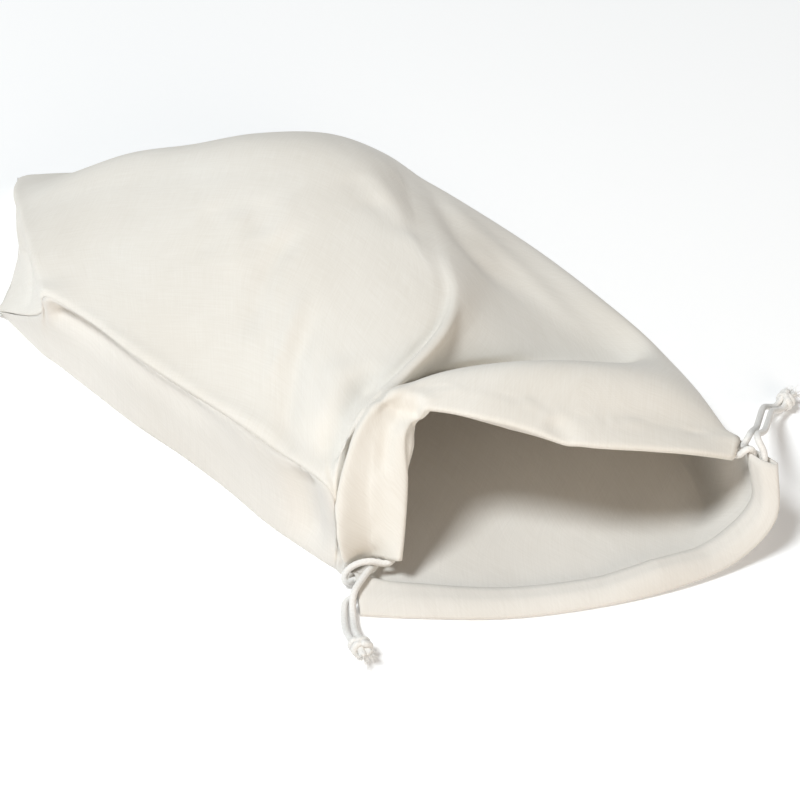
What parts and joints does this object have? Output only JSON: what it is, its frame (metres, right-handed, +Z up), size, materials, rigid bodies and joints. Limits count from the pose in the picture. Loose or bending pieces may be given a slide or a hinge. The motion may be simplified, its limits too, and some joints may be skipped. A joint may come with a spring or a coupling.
{
  "type": "linen bread bag",
  "caption": "Open-mouthed linen drawstring bag lying on its back, filled out, with knotted cotton cords at both ends of the mouth.",
  "frame": {"origin": "on the underside of the back panel, in the plane that the bag rests on", "axes": "+Z up; +Y along the bag from its mouth towards its closed end; -X the side with the near seam"},
  "size_m": [0.3648, 0.6368, 0.1136],
  "materials": {
    "front_linen": "natural off-white linen, plain weave with slubs",
    "back_linen": "natural off-white linen, plain weave with slubs",
    "left_cord": "white twisted cotton cord",
    "right_cord": "white twisted cotton cord",
    "left_knot": "white cotton cord, knotted, frayed at the ends",
    "right_knot": "white cotton cord, knotted, frayed at the ends"
  },
  "bodies": {
    "root": {"front_panel": "front_linen", "back_panel": "back_linen", "drawstring_left": "left_cord", "drawstring_right": "right_cord", "knot_left": "left_knot", "knot_right": "right_knot"}
  },
  "joints": []
}
